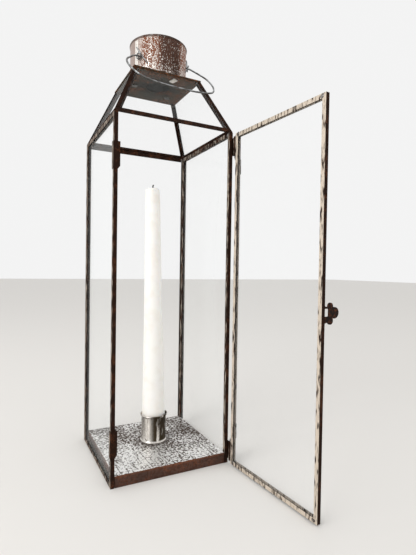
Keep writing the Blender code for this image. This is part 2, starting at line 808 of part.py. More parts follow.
def clips():
    """Sheet sleeves round the front left upright, open at the back, each with a folded lip that
    stands into the doorway."""
    half = SIDE / 2
    left = -half - GAP
    front = -half - GAP
    right = -half + CAME_DEPTH + GAP
    back = -half + CAME_FACE
    outline = [
        (left - CLIP_SHEET, back - CLIP_SHORT),
        (left - CLIP_SHEET, front - CLIP_SHEET),
        (right + CLIP_LIP, front - CLIP_SHEET),
        (right + CLIP_LIP, back),
        (right, back),
        (right, front),
        (left, front),
        (left, back - CLIP_SHORT),
    ]
    for name, low in CLIP_LOWS.items():
        sleeve = flat(name, [outline], CLIP_HEIGHT, ROOT, CAME_TIN)
        place(sleeve, UP * (low + CLIP_HEIGHT / 2))
        corner = Vector((right + CLIP_LIP, 0.0, low + CLIP_NOTCH))
        trim(to_mesh(sleeve), [(corner, CLIP_SLANT.normalized())])


walls()
roof()
base_tray()
candle_cup()
candle()
crown_plate()
chimney()
ears()
bail()
knuckles()
door()
clips()
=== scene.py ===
"""The looks of a candle lantern: rusted tin cames, clear panes, a mottled zinc tray, a bright cup, a
speckled chimney, solder at the joints, and a candle with a twisted wick."""

import json
import math

import bmesh
import bpy
from mathutils import Matrix, Vector

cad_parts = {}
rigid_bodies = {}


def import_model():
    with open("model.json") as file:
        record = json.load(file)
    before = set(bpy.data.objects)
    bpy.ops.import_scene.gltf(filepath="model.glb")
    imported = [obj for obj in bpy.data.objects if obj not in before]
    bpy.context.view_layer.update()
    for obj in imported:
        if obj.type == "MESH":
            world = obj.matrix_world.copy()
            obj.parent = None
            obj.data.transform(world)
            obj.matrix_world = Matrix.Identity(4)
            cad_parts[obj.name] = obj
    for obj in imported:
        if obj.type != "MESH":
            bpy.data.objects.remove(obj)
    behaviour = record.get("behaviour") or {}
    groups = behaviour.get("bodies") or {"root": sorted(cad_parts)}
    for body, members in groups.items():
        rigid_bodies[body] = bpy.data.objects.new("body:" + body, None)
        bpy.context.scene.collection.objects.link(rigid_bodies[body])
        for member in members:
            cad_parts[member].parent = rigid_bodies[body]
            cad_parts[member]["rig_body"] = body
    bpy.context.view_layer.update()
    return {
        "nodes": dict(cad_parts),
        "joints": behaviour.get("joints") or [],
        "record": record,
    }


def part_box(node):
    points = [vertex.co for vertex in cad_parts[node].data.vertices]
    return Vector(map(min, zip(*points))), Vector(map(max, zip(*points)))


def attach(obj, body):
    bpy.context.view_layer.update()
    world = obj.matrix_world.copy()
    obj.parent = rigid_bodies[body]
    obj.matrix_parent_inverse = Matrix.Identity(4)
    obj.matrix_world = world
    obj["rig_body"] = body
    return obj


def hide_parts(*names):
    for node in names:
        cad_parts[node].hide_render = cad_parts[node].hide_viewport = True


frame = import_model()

MM = 0.001
UP = Vector((0.0, 0.0, 1.0))
BACKWARD = Vector((0.0, 1.0, 0.0))

# Places taken from the frame.
DRUM_LOW, DRUM_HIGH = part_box("chimney")
DRUM = (DRUM_LOW + DRUM_HIGH) / 2
CROWN_LOW, CROWN_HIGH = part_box("crown_plate")
CROWN = (CROWN_LOW + CROWN_HIGH) / 2
CUP_LOW, CUP_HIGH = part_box("candle_cup")
CUP = (CUP_LOW + CUP_HIGH) / 2
TRAY_LOW, TRAY_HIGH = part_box("tray")
TRAY = (TRAY_LOW + TRAY_HIGH) / 2
LIFT = Vector(next(joint["axis"] for joint in frame["joints"] if joint["name"] == "candle_lift"))

# Outer radii of the chimney's and the cup's walls, without their rims.
DRUM_RADIUS = 26.3 * MM
CUP_RADIUS = 11.75 * MM

# The way across the view to the side of the chimney and cup that is away from the light, where painted
# shade darkens them.
TOWARD_SHADE = Vector((0.886, -0.463, 0.0))

# The way to the one chimney tab that is painted pale tin as a painted highlight.
HIGHLIGHT_TAB = Vector((0.292, -0.956, 0.0))

CAMERA_PLACE = Vector((-0.1493, -0.3214, 0.1766))
CAMERA_YAW = -27.47
CAMERA_PITCH = -1.18
CAMERA_ROLL = 0.90
CAMERA_LENS = 26.74

BLACK_BROWN = (0.010, 0.005, 0.0035)
DEEP_BROWN = (0.026, 0.011, 0.006)
CAME_RUST = (0.085, 0.030, 0.013)
RUST = (0.170, 0.050, 0.018)
BRIGHT_RUST = (0.250, 0.078, 0.030)
OLIVE = (0.040, 0.030, 0.019)
SOOT = (0.010, 0.008, 0.006)
CREAM_WEAR_AND_SHEEN = (0.660, 0.570, 0.470)
PALE_TIN = (0.780, 0.740, 0.690)
ZINC = (0.810, 0.800, 0.780)
SPECK = (0.058, 0.036, 0.023)
TARNISH_AND_SHADE = (0.046, 0.032, 0.016)
GALVANISED = (0.480, 0.500, 0.510)
SOLDER = (0.300, 0.280, 0.260)
LIT_EDGE_TIN = (0.430, 0.340, 0.300)
DULL_SHADED_WIRE = (0.045, 0.038, 0.032)
WAX = (0.93, 0.91, 0.87)
WAX_BLOOM = (0.86, 0.83, 0.77)
WAX_NEAR_CUP = (0.62, 0.56, 0.48)
COTTON_DARK = (0.012, 0.011, 0.011)
COTTON_WORN = (0.060, 0.052, 0.046)
GLASS_TINT = (0.86, 0.90, 0.89, 1.0)
FLOOR_COLOUR = (0.72, 0.70, 0.67, 1.0)
ROOM_COLOUR = (0.90, 0.90, 0.90, 1.0)

# Solder drops: their radius and rise, and the size and depth of the lumps that make them uneven.
DROP_RADIUS = 2.1 * MM
DROP_RISE = 0.55 * MM
DOOR_DROP_RADIUS = 1.9 * MM
DOOR_DROP_RISE = 0.45 * MM
LUMP_SIZE = 1.6 * MM
LUMP_DEPTH = 0.7 * MM

# The drops under the crown's corners: in from its edge, down from its middle, and how they tilt.
CROWN_DROP_INSET = 2.4 * MM
CROWN_DROP_DOWN = 1.7 * MM
CROWN_DROP_TILT = -0.9

# Solder at the bottom joints stays this high, clear of the table.
SOLDER_LOW = 3.1 * MM

# Lapped seams: a bearing round the drum or cup, a width, the sheet, and what is left at the ends.
SEAM_GAP = 0.02 * MM
DRUM_SEAM_BEARING = 202.0
DRUM_SEAM_WIDTH = 4.0 * MM
DRUM_SEAM_SHEET = 0.30 * MM
DRUM_SEAM_FOOT = 0.8 * MM
DRUM_SEAM_HEAD = 3.0 * MM
CUP_SEAM_BEARING = 215.0
CUP_SEAM_WIDTH = 2.6 * MM
CUP_SEAM_SHEET = 0.22 * MM
CUP_SEAM_ENDS = 2.6 * MM

# The run of solder round the cup's foot: its middle, and half its width and height.
FILLET_OUT = 1.2 * MM
FILLET_UP = 0.25 * MM
FILLET_HALF_WIDTH = 0.85 * MM
FILLET_HALF_HEIGHT = 0.65 * MM

# The wick's strands, the share of its height that they take, and how its tip leans over.
STRAND_RADIUS = 0.36 * MM
STRAND_OFFSET = 0.34 * MM
WICK_SHARE = 0.97
WICK_SHIFT = 0.3 * MM
WICK_LEAN = 3.5 * MM
WICK_LEAN_START = 0.55
WICK_LEAN_BACK = 0.25

# Lights, each with the side of its square and its power, the height that they aim at, and half the
# floor's side.
WINDOW_PLACE = Vector((-1.1, -0.35, 0.85))
WINDOW_SIZE = 0.9
WINDOW_POWER = 9.0
FILL_PLACE = Vector((0.9, -1.0, 0.9))
FILL_SIZE = 1.2
FILL_POWER = 1.5
AIM_HEIGHT = 0.18
FLOOR_SIZE = 6.0


class Tree:
    """A node tree with one way to add a node."""

    def __init__(self, tree):
        self.tree = tree

    def node(self, kind, settings=None, inputs=None):
        made = self.tree.nodes.new(kind)
        for name, value in (settings or {}).items():
            setattr(made, name, value)
        for key, value in (inputs or {}).items():
            self.feed(made.inputs[key], value)
        return made

    def feed(self, socket, value):
        if isinstance(value, Number):
            value = value.socket
        if isinstance(value, bpy.types.NodeSocket):
            self.tree.links.new(value, socket)
        else:
            socket.default_value = value


class Number:
    """A number socket that Python sums add Math nodes to."""

    def __init__(self, tree, socket):
        self.tree = tree
        self.socket = socket

    def join(self, operation, first, second, clamp=False):
        made = self.tree.node(
            "ShaderNodeMath", {"operation": operation, "use_clamp": clamp}, {0: first, 1: second}
        )
        return Number(self.tree, made.outputs[0])

    def __add__(self, other):
        return self.join("ADD", self, other)

    __radd__ = __add__

    def __sub__(self, other):
        return self.join("SUBTRACT", self, other)

    def __rsub__(self, other):
        return self.join("SUBTRACT", other, self)

    def __mul__(self, other):
        return self.join("MULTIPLY", self, other)

    __rmul__ = __mul__

    def clipped(self):
        return self.join("ADD", self, 0.0, clamp=True)

    def between(self, low, high):
        """Smoothly 0 below low and 1 above high."""
        made = self.tree.node(
            "ShaderNodeMapRange",
            {"interpolation_type": "SMOOTHSTEP"},
            {"Value": self, "From Min": low, "From Max": high},
        )
        return Number(self.tree, made.outputs["Result"])


class Finish(Tree):
    """A material with patterns laid on the object's own coordinates."""

    def __init__(self, name, roughness=0.5, metallic=0.0):
        self.material = bpy.data.materials.new(name)
        self.material.use_nodes = True
        super().__init__(self.material.node_tree)
        self.shader = self.tree.nodes["Principled BSDF"]
        self.shader.inputs["Roughness"].default_value = roughness
        self.shader.inputs["Metallic"].default_value = metallic
        self.spot = self.node("ShaderNodeTexCoord")

    def noise(self, size, detail=4.0, stretch=(1.0, 1.0, 1.0), shift=0.0):
        """Cloudy noise whose features are about size metres across."""
        laid = self.node(
            "ShaderNodeMapping", None,
            {"Vector": self.spot.outputs["Object"], "Scale": stretch, "Location": (shift, shift, shift)},
        )
        made = self.node(
            "ShaderNodeTexNoise", None,
            {"Vector": laid.outputs["Vector"], "Scale": 1.0 / size, "Detail": detail},
        )
        return Number(self, made.outputs["Fac"])

    def along(self, direction, origin=Vector()):
        """The distance in metres of each point from origin, measured along a direction."""
        moved = self.node(
            "ShaderNodeVectorMath", {"operation": "SUBTRACT"},
            {0: self.spot.outputs["Object"], 1: origin},
        )
        return self.dot(moved.outputs["Vector"], direction)

    def facing(self, direction):
        """How far the surface faces a direction, from -1 to 1."""
        return self.dot(self.spot.outputs["Normal"], direction)

    def dot(self, vector, direction):
        made = self.node("ShaderNodeVectorMath", {"operation": "DOT_PRODUCT"}, {0: vector, 1: direction})
        return Number(self, made.outputs["Value"])

    def mix(self, first, second, share):
        """One colour over another, by a share."""
        colours = [(*colour, 1.0) if isinstance(colour, tuple) else colour for colour in (first, second)]
        made = self.node(
            "ShaderNodeMix", {"data_type": "RGBA"}, {0: share, 6: colours[0], 7: colours[1]}
        )
        return made.outputs[2]

    def paint(self, **looks):
        """Feed the shader's sockets, named in lower case with underscores."""
        for name, value in looks.items():
            self.feed(self.shader.inputs[name.replace("_", " ").title()], value)
        return self

    def dull(self, level):
        """Weaken the mirror-like gloss all over."""
        self.shader.inputs["Specular IOR Level"].default_value = level
        return self

    def bump(self, height, depth):
        made = self.node("ShaderNodeBump", None, {"Height": height, "Distance": depth, "Strength": 0.6})
        self.feed(self.shader.inputs["Normal"], made.outputs["Normal"])
        return self


def came_finish(name, wear_and_sheen_side, wear_and_sheen_amount, wear_and_sheen_low, rust_low):
    """Browned tin: rust in patches, and pale cream metal on the faces turned to one side, partly wear and
    partly a painted sheen where those faces turn towards the light.
    """
    finish = Finish(name)
    patches = finish.noise(7 * MM)
    grain = finish.noise(0.9 * MM, 6.0, shift=2.0)
    streaks = finish.noise(1.7 * MM, 5.0, (1.0, 1.0, 0.20), 5.0)
    rust = patches.between(rust_low, rust_low + 0.16) * grain.between(0.40, 0.58)
    # Faces turned to the given side, towards the light, go pale cream: partly wear, partly painted sheen.
    wear_and_sheen = finish.facing(wear_and_sheen_side).between(0.92, 0.98) * streaks.between(wear_and_sheen_low, wear_and_sheen_low + 0.18)
    wear_and_sheen = (wear_and_sheen * wear_and_sheen_amount).clipped()
    colour = finish.mix(BLACK_BROWN, DEEP_BROWN, grain)
    colour = finish.mix(colour, CAME_RUST, (rust * 0.8).clipped())
    colour = finish.mix(colour, CREAM_WEAR_AND_SHEEN, wear_and_sheen)
    finish.paint(base_color=colour, roughness=0.78 - wear_and_sheen * 0.3, metallic=wear_and_sheen * 0.35)
    return finish.dull(0.07).bump(grain + rust * 0.6, 0.25 * MM)


def glass_finish():
    """Clear window glass, with faint dust towards its lower edge and gloss at a slant."""
    finish = Finish("clear_glass")
    dust = finish.noise(24 * MM, 5.0)
    low = 1.0 - finish.along(UP).between(0.0, 90 * MM)
    slant = finish.node("ShaderNodeLayerWeight", None, {"Blend": 0.12})
    gloss = Number(finish, slant.outputs["Fresnel"])
    film = dust.between(0.42, 0.80)
    finish.paint(
        base_color=GLASS_TINT,
        roughness=0.04 + film * 0.10,
        alpha=(0.018 + gloss * 0.11 + film * 0.012 + low * film * 0.03).clipped(),
    )
    return finish


def tray_finish():
    """Zinc sheet on top with brown specks and streaks running to the front, and rusted skirts."""
    finish = Finish("mottled_zinc")
    specks = finish.noise(2.0 * MM, 2.5)
    fine = finish.noise(0.9 * MM, 4.0, shift=3.0)
    streaks = finish.noise(2.0 * MM, 3.0, (1.0, 0.10, 1.0), 7.0)
    clouds = finish.noise(20 * MM, 3.0, shift=9.0)
    behind = finish.along(Vector((0.35, 0.94, 0.0)), TRAY).between(-34 * MM, 14 * MM)
    front = 1.0 - finish.along(BACKWARD, TRAY).between(-48 * MM, -8 * MM)
    marks = (specks + behind * 0.085 + clouds * 0.24 - 0.06).between(0.585, 0.66)
    lines = streaks.between(0.53, 0.60) * fine.between(0.34, 0.50) * (0.35 + front * 0.65)
    haze = behind * clouds.between(0.34, 0.60)
    shade = (marks * 0.95 + lines * 0.95 + haze * 0.34).clipped()
    top = finish.facing(UP).between(0.6, 0.9)
    flat = finish.mix(ZINC, SPECK, shade)
    rusted = clouds.between(0.42, 0.66) * fine.between(0.38, 0.62)
    # The skirt is lighter along its rounded top edge and darker below it: a painted highlight on the fold
    # over painted shade, on top of real rust.
    rim = finish.along(UP, TRAY_HIGH).between(-2.6 * MM, -0.4 * MM)
    skirt = finish.mix(DEEP_BROWN, RUST, (0.14 + rusted * 0.60 + rim * 0.40).clipped())
    colour = finish.mix(skirt, flat, top)
    finish.paint(
        base_color=colour,
        roughness=0.42 + shade * 0.35 + (1.0 - top) * 0.2,
        metallic=top * (0.55 - shade * 0.4) + 0.1,
    )
    return finish.bump(specks + shade * 0.5, 0.2 * MM)


def cup_finish():
    """Bright tin, with brown tarnish running down it, gathered on the side away from the light, where the
    brown is also painted shade.
    """
    finish = Finish("tarnished_and_shaded_tin")
    runs = finish.noise(4.5 * MM, 4.0, (1.0, 1.0, 0.22))
    fine = finish.noise(0.9 * MM, 5.0, shift=4.0)
    # The half away from the light takes most of the brown: painted shade over the tarnish.
    side = finish.along(TOWARD_SHADE, CUP).between(-4 * MM, 3 * MM)
    foot = 1.0 - finish.along(UP, CUP_LOW).between(1.8 * MM, 2.8 * MM)
    brown = runs.between(0.36, 0.47) * (0.10 + side * 0.90) + fine.between(0.56, 0.68) * 0.4
    brown = (brown * (1.0 - foot * 0.85)).clipped()
    colour = finish.mix(PALE_TIN, TARNISH_AND_SHADE, brown)
    finish.paint(base_color=colour, roughness=0.20 + brown * 0.30, metallic=0.95 - brown * 0.2)
    return finish.bump(runs + fine * 0.4, 0.12 * MM)


def drum_finish():
    """Pale tin under a heavy rust speckle, painted dark brown as shade on the side away from the light,
    kept clean on the edge towards it as a painted reflection, sooty and painted in shade inside and under
    the crown, with a painted highlight on one tab.
    """
    finish = Finish("speckled_tin_painted_light")
    speckle = finish.noise(0.78 * MM, 4.0, (1.0, 1.0, 0.65))
    runs = finish.noise(2.6 * MM, 4.0, (1.0, 1.0, 0.20), 6.0)
    fine = finish.noise(0.6 * MM, 4.0, shift=11.0)
    across = finish.along(TOWARD_SHADE, DRUM)
    high = finish.along(UP, DRUM).between(-16 * MM, 2 * MM)
    # The edge turned towards the light is kept almost free of rust, in plain tin: a painted reflection of
    # the bright window.
    off_lit_edge = across.between(-17 * MM, -10 * MM)
    # A band on the side away from the light is painted dark brown as painted shade, and it gets more rust
    # speckle.
    shaded_side = across.between(0.0, 8 * MM) * (1.0 - across.between(20 * MM, 24 * MM))
    rust = speckle + runs * 0.20 + high * 0.08 + off_lit_edge * 0.09 + shaded_side * 0.09
    rust = rust.between(0.67, 0.76) * (0.15 + off_lit_edge * 0.85)
    tone = finish.mix(BRIGHT_RUST, RUST, fine)
    shade_depth = shaded_side * (0.50 + fine.between(0.35, 0.55) * 0.40)
    tone = finish.mix(tone, DEEP_BROWN, shade_depth.clipped())
    bare = finish.mix(LIT_EDGE_TIN, PALE_TIN, off_lit_edge)
    colour = finish.mix(bare, tone, rust.clipped())
    # The rolled rim at the top is painted dark brown: painted shade.
    rim = finish.along(UP, DRUM_HIGH).between(-2.6 * MM, -1.6 * MM)
    colour = finish.mix(colour, DEEP_BROWN, (rim * 0.75).clipped())
    # The drum's inner wall and its tabs under the crown take a dark soot colour that is partly painted
    # shade.
    sooty_shade = finish.mix(SOOT, OLIVE, speckle)
    offset = finish.node(
        "ShaderNodeVectorMath", {"operation": "SUBTRACT"}, {0: finish.spot.outputs["Object"], 1: DRUM}
    )
    outward = finish.dot(offset.outputs["Vector"], finish.spot.outputs["Normal"])
    inner = 1.0 - outward.between(-14 * MM, 6 * MM)
    below = 1.0 - finish.along(UP, CROWN_LOW).between(-0.3 * MM, 0.0)
    # One tab under the crown is painted pale tin: a painted highlight.
    tab_highlight = finish.along(HIGHLIGHT_TAB, DRUM).between(14 * MM, 17 * MM)
    soot_and_shade = (inner + below).clipped() * (1.0 - below * tab_highlight)
    colour = finish.mix(colour, sooty_shade, soot_and_shade)
    colour = finish.mix(colour, PALE_TIN, (below * tab_highlight * 0.9).clipped())
    metal = (0.70 - rust * 0.55) * (1.0 - soot_and_shade * 0.9)
    finish.paint(base_color=colour, roughness=0.34 + rust * 0.40, metallic=metal)
    return finish.bump(speckle + rust * 0.8, 0.22 * MM)


def crown_finish():
    """Olive brown tin plate, sooty under the flue and flecked with rust near its edges."""
    finish = Finish("sooty_tin")
    clouds = finish.noise(11 * MM)
    flecks = finish.noise(1.3 * MM, 4.0, shift=8.0)
    middle = finish.node(
        "ShaderNodeVectorMath", {"operation": "DISTANCE"},
        {0: finish.spot.outputs["Object"], 1: CROWN},
    )
    near = 1.0 - Number(finish, middle.outputs["Value"]).between(8 * MM, 30 * MM)
    soot = (near * 0.75 + clouds.between(0.5, 0.75) * 0.35).clipped()
    front = 1.0 - finish.along(BACKWARD, CROWN).between(-30 * MM, -12 * MM)
    rust = flecks.between(0.51, 0.61) * (clouds + front * 0.16).between(0.42, 0.60)
    colour = finish.mix(OLIVE, SOOT, soot)
    colour = finish.mix(colour, BRIGHT_RUST, (rust * 0.75).clipped())
    finish.paint(base_color=colour, roughness=0.72 + rust * 0.2)
    return finish.dull(0.06).bump(flecks + clouds, 0.2 * MM)


def wax_finish():
    """Ivory wax with a faint bloom, a little darker where it meets the cup."""
    finish = Finish("ivory_wax")
    bloom = finish.noise(9 * MM, 3.0)
    dents = finish.noise(3 * MM, 3.0, (1.0, 1.0, 0.3), 2.0)
    foot = 1.0 - finish.along(UP, CUP_HIGH).between(-2 * MM, 5 * MM)
    colour = finish.mix(WAX, WAX_BLOOM, bloom.between(0.45, 0.7) * 0.6)
    colour = finish.mix(colour, WAX_NEAR_CUP, foot * 0.4)
    finish.paint(base_color=colour, roughness=0.40 + bloom * 0.15)
    finish.shader.inputs["Subsurface Weight"].default_value = 0.35
    finish.shader.inputs["Subsurface Radius"].default_value = (0.006, 0.005, 0.004)
    finish.shader.inputs["Subsurface Scale"].default_value = 0.6
    return finish.bump(dents, 0.10 * MM)


def wick_finish():
    """Dark, fibrous cotton."""
    finish = Finish("charred_cotton")
    fibres = finish.noise(0.25 * MM, 5.0)
    colour = finish.mix(COTTON_DARK, COTTON_WORN, fibres)
    finish.paint(base_color=colour, roughness=0.85 + fibres * 0.1)
    return finish.bump(fibres, 0.05 * MM)


def wire_finish():
    """Galvanised wire, dark in patches that are partly dull zinc and partly painted shadow, with painted
    shade on its underside.
    """
    finish = Finish("galvanised_wire")
    patches = finish.noise(6 * MM)
    fine = finish.noise(0.6 * MM, 4.0, shift=1.0)
    # Faces turned down are painted dark: painted shade.
    shaded_underside = 1.0 - finish.facing(UP).between(-0.5, 0.35)
    dull = (patches.between(0.42, 0.58) * 0.75 + shaded_underside * 0.8).clipped()
    colour = finish.mix(GALVANISED, DULL_SHADED_WIRE, (dull * 0.9 + fine * 0.1).clipped())
    finish.paint(base_color=colour, roughness=0.30 + dull * 0.25, metallic=0.85 - dull * 0.5)
    return finish.bump(fine, 0.05 * MM)


def iron_finish():
    """Dark rusted iron, redder in patches."""
    finish = Finish("rusted_iron")
    patches = finish.noise(1.9 * MM)
    grain = finish.noise(0.6 * MM, 6.0, shift=2.0)
    rust = patches.between(0.46, 0.62)
    colour = finish.mix(BLACK_BROWN, RUST, (rust * 0.60 * grain.between(0.35, 0.6)).clipped())
    finish.paint(base_color=colour, roughness=0.66 + grain * 0.2)
    return finish.dull(0.15).bump(grain + patches * 0.5, 0.25 * MM)


def solder_finish():
    """Lead-grey solder that has browned unevenly."""
    finish = Finish("browned_solder")
    patches = finish.noise(2.4 * MM)
    brown = patches.between(0.40, 0.58)
    colour = finish.mix(SOLDER, DEEP_BROWN, (brown * 0.85).clipped())
    finish.paint(base_color=colour, roughness=0.35 + brown * 0.3, metallic=0.8 - brown * 0.5)
    return finish.bump(patches, 0.2 * MM)


def seam_highlight_finish():
    """Bare bright tin where the chimney's sheet laps over itself; its brightness is partly a painted
    highlight.
    """
    finish = Finish("bare_seam_highlight")
    flecks = finish.noise(0.9 * MM, 4.0, (1.0, 1.0, 0.5), 3.0)
    rust = flecks.between(0.60, 0.70)
    finish.paint(
        base_color=finish.mix(PALE_TIN, RUST, rust), roughness=0.38 + rust * 0.3, metallic=0.35 - rust * 0.2
    )
    return finish.bump(flecks, 0.1 * MM)


FINISHES = {
    # Both cames paint pale the faces turned to -X, towards the light: wear and painted sheen.
    "came_tin": came_finish("browned_came", (-1.0, 0.0, 0.0), 0.55, 0.45, 0.47),
    "door_tin": came_finish("worn_and_sheened_door_came", (-1.0, 0.0, 0.0), 1.0, 0.35, 0.50),
    "pane_glass": glass_finish(),
    "tray_zinc": tray_finish(),
    "cup_tin": cup_finish(),
    "wax": wax_finish(),
    "wick_cotton": wick_finish(),
    "crown_tin": crown_finish(),
    "drum_tin": drum_finish(),
    "galvanised": wire_finish(),
    "rusty_iron": iron_finish(),
}
SOLDER_FINISH = solder_finish()
SEAM_HIGHLIGHT_FINISH = seam_highlight_finish()
SLOTS = {part["node"]: part["material_slot"] for part in frame["record"]["subparts"]}


def dress_nodes():
    """Give every CAD node the finish of its slot in the record."""
    for name, node in frame["nodes"].items():
        made = FINISHES[SLOTS[name]].material
        if node.material_slots:
            for slot in node.material_slots:
                slot.material = made
        else:
            node.data.materials.append(made)


def piece(name, data, body, slot, finish=None):
    """A finished mesh as an object that rides on a body and takes a slot's finish."""
    made = bpy.data.objects.new(name, data)
    bpy.context.scene.collection.objects.link(made)
    data.materials.clear()
    data.materials.append((finish or FINISHES[slot]).material)
    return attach(made, body)


def to_piece(source, name, body, slot, finish=None):
    """Take a modelled object's evaluated mesh, with its place in the mesh, and drop the object."""
    bpy.context.view_layer.update()
    seen = source.evaluated_get(bpy.context.evaluated_depsgraph_get())
    data = bpy.data.meshes.new_from_object(seen)
    data.transform(source.matrix_world)
    bpy.data.objects.remove(source, do_unlink=True)
    return piece(name, data, body, slot, finish)


def rounded(node_name, sharp=35.0):
    """Stand a smooth-shaded copy in for a round CAD node, whose own triangles are loose."""
    node = frame["nodes"][node_name]
    data = node.data.copy()
    mesh = bmesh.new()
    mesh.from_mesh(data)
    bmesh.ops.remove_doubles(mesh, verts=mesh.verts, dist=0.002 * MM)
    mesh.to_mesh(data)
    mesh.free()
    data.shade_smooth()
    data.set_sharp_from_angle(angle=math.radians(sharp))
    made = piece(f"{node_name}_smooth", data, node["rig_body"], SLOTS[node_name])
    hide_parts(node_name)


def solder_tree():
    """Flattened, uneven drops, one at each point, lying square to the point's facing."""
    group = bpy.data.node_groups.new("solder_drops", "GeometryNodeTree")
    group.interface.new_socket("Points", in_out="INPUT", socket_type="NodeSocketGeometry")
    radius = group.interface.new_socket("Drop radius", in_out="INPUT", socket_type="NodeSocketFloat")
    rise = group.interface.new_socket("Drop rise", in_out="INPUT", socket_type="NodeSocketFloat")
    group.interface.new_socket("Drops", in_out="OUTPUT", socket_type="NodeSocketGeometry")
    tree = Tree(group)
    given = tree.node("NodeGroupInput").outputs
    ball = tree.node("GeometryNodeMeshIcoSphere", None, {"Radius": 1.0, "Subdivisions": 3})
    facing = tree.node("GeometryNodeInputNamedAttribute", {"data_type": "FLOAT_VECTOR"}, {"Name": "facing"})
    turn = tree.node(
        "FunctionNodeAlignRotationToVector", {"axis": "Z"}, {"Vector": facing.outputs["Attribute"]}
    )
    spread = tree.node(
        "FunctionNodeRandomValue", {"data_type": "FLOAT"}, {"Min": 0.75, "Max": 1.15, "Seed": 7}
    )
    spread = Number(tree, spread.outputs["Value"])
    size = tree.node(
        "ShaderNodeCombineXYZ", None,
        {"X": spread * given["Drop radius"], "Y": given["Drop radius"], "Z": given["Drop rise"]},
    )
    drops = tree.node(
        "GeometryNodeInstanceOnPoints", None,
        {
            "Points": given["Points"],
            "Instance": ball.outputs["Mesh"],
            "Rotation": turn.outputs["Rotation"],
            "Scale": size.outputs["Vector"],
        },
    )
    whole = tree.node("GeometryNodeRealizeInstances", None, {0: drops.outputs["Instances"]})
    lumps = tree.node("ShaderNodeTexNoise", None, {"Scale": 1.0 / LUMP_SIZE, "Detail": 1.0})
    centred = tree.node(
        "ShaderNodeVectorMath", {"operation": "SUBTRACT"}, {0: lumps.outputs["Color"], 1: (0.5,) * 3}
    )
    push = tree.node(
        "ShaderNodeVectorMath", {"operation": "SCALE"}, {0: centred.outputs["Vector"], "Scale": LUMP_DEPTH}
    )
    uneven = tree.node(
        "GeometryNodeSetPosition", None,
        {"Geometry": whole.outputs["Geometry"], "Offset": push.outputs["Vector"]},
    )
    smooth = tree.node("GeometryNodeSetShadeSmooth", None, {"Geometry": uneven.outputs["Geometry"]})
    dressed = tree.node(
        "GeometryNodeSetMaterial", None,
        {"Geometry": smooth.outputs["Geometry"], "Material": SOLDER_FINISH.material},
    )
    tree.node("NodeGroupOutput", None, {"Drops": dressed.outputs["Geometry"]})
    return group, radius.identifier, rise.identifier


def solder(name, spots, body, slot, radius, rise):
    """Solder drops at spots, each a point and the way it faces."""
    data = bpy.data.meshes.new(name)
    data.from_pydata([spot for spot, _ in spots], [], [])
    facing = data.attributes.new("facing", "FLOAT_VECTOR", "POINT")
    facing.data.foreach_set("vector", [value for _, way in spots for value in way.normalized()])
    source = bpy.data.objects.new(f"{name}_points", data)
    bpy.context.scene.collection.objects.link(source)
    step = source.modifiers.new("drops", "NODES")
    group, radius_socket, rise_socket = solder_tree()
    step.node_group = group
    step[radius_socket] = radius
    step[rise_socket] = rise
    return to_piece(source, name, body, slot, SOLDER_FINISH)


def middle_of(node_name):
    low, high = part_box(node_name)
    return (low + high) / 2


def frame_joints(frame_name, first, last):
    """The four places where a framed pane's cames meet, each on both faces of the frame."""
    start = middle_of(f"{frame_name}_came_{first}")
    end = middle_of(f"{frame_name}_came_{last}")
    along = Vector((end.x - start.x, end.y - start.y, 0.0)).normalized()
    across = along.cross(UP)
    inset = 1.8 * MM
    lift = 1.45 * MM
    spots = []
    for row in ("bottom", "top"):
        height = middle_of(f"{frame_name}_came_{row}").z
        for corner, way in ((start, along), (end, -along)):
            place = Vector((corner.x, corner.y, max(height, SOLDER_LOW))) + way * inset
            spots += [(place + across * lift, across), (place - across * lift, -across)]
    return spots


def inward_only(spots):
    """Keep the drops that face the middle of the lantern."""
    return [(place, way) for place, way in spots if way.dot(CROWN - place) > 0.0]


def lantern_solder():
    """Drops inside the three walls' corners and under the crown's corners."""
    spots = []
    for name, sides in (
        ("left", ("front", "back")), ("right", ("front", "back")), ("back", ("left", "right")),
    ):
        spots += inward_only(frame_joints(name, *sides))
    half = (CROWN_HIGH.x - CROWN_LOW.x) / 2 - CROWN_DROP_INSET
    for along_x in (-1.0, 1.0):
        for along_y in (-1.0, 1.0):
            way = Vector((along_x, along_y, CROWN_DROP_TILT))
            spots.append((CROWN + Vector((along_x * half, along_y * half, -CROWN_DROP_DOWN)), way))
    solder("solder_lantern", spots, "lantern", "came_tin", DROP_RADIUS, DROP_RISE)


def door_solder():
    solder("solder_door", frame_joints("door", "hinge", "latch"), "door", "door_tin",
           DOOR_DROP_RADIUS, DOOR_DROP_RISE)


def bent_strip(name, centre, radius, bearing, width, low, high, thickness, slot, finish=None):
    """A strip of sheet lapped round a drum or cup, standing up its wall."""
    columns = 5
    rows = 12
    mesh = bmesh.new()
    bmesh.ops.create_grid(mesh, x_segments=columns, y_segments=rows, size=0.5)
    for vert in mesh.verts:
        angle = math.radians(bearing) + vert.co.x * width / radius
        height = low + (vert.co.y + 0.5) * (high - low)
        vert.co = Vector((
            centre.x + radius * math.cos(angle), centre.y + radius * math.sin(angle), height
        ))
    data = bpy.data.meshes.new(name)
    mesh.to_mesh(data)
    mesh.free()
    data.shade_smooth()
    source = bpy.data.objects.new(f"{name}_sheet", data)
    bpy.context.scene.collection.objects.link(source)
    sheet = source.modifiers.new("sheet", "SOLIDIFY")
    sheet.thickness = thickness
    sheet.offset = 1.0
    edge = source.modifiers.new("edge", "BEVEL")
    edge.width = thickness * 0.3
    edge.segments = 2
    edge.limit_method = "ANGLE"
    return to_piece(source, name, "lantern", slot, finish)


